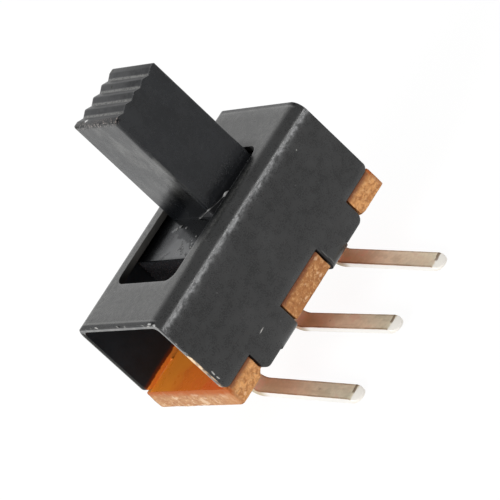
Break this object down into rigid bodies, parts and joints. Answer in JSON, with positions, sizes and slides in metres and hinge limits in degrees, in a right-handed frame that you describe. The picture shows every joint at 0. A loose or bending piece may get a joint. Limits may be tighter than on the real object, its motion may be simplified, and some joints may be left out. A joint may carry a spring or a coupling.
{
  "type": "slide switch",
  "caption": "Slide switch with a folded black steel cover, a tall ridged knob, a brown phenolic board and flat legs bent to one side.",
  "frame": {"origin": "middle of the cover's top face, on the slide's centre line, in the plane that lies against a panel", "axes": "+X along the slide, to the end where the knob is at rest; +Z out of the knob's tip; the legs leave towards -Y, where the circuit board lies"},
  "size_m": [0.0102, 0.0084, 0.012],
  "materials": {
    "black_steel": "black finish on sheet steel, satin, worn bright along the folds",
    "phenolic": "paper phenolic board, mottled brown at its punched edges",
    "terminal_metal": "thinly tinned copper alloy, darker towards the board",
    "black_plastic": "moulded black plastic, satin",
    "contact_bronze": "rolled spring bronze"
  },
  "bodies": {
    "root": {"cover": "black_steel", "terminal_board": "phenolic", "terminal_left": "terminal_metal", "terminal_common": "terminal_metal", "terminal_right": "terminal_metal"},
    "slider_body": {"slider": "black_plastic", "contact_clip": "contact_bronze"}
  },
  "joints": [
    {"name": "slide", "type": "slide", "parent": "root", "child": "slider_body", "axis": [-1, 0, 0], "range_m": [0, 0.003]}
  ]
}
